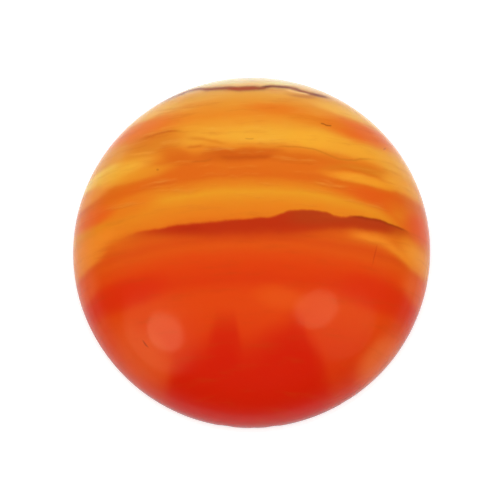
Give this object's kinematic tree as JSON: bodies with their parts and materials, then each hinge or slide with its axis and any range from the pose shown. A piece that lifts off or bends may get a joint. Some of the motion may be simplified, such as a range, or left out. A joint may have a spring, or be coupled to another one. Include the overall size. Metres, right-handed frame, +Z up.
{
  "type": "agate cabochon",
  "caption": "Round polished stone with an even dome, a low upright girdle and a flat bevelled back, to set in a round bezel or lay on a bench or desk.",
  "frame": {"origin": "centre of the flat back, which the stone lies on", "axes": "+Z up through the top of the dome, +X along the agate's bands, +Y across them towards the pale ones"},
  "size_m": [0.025, 0.025, 0.006],
  "materials": {
    "agate": "polished"
  },
  "bodies": {
    "root": {"cabochon": "agate"}
  },
  "joints": []
}
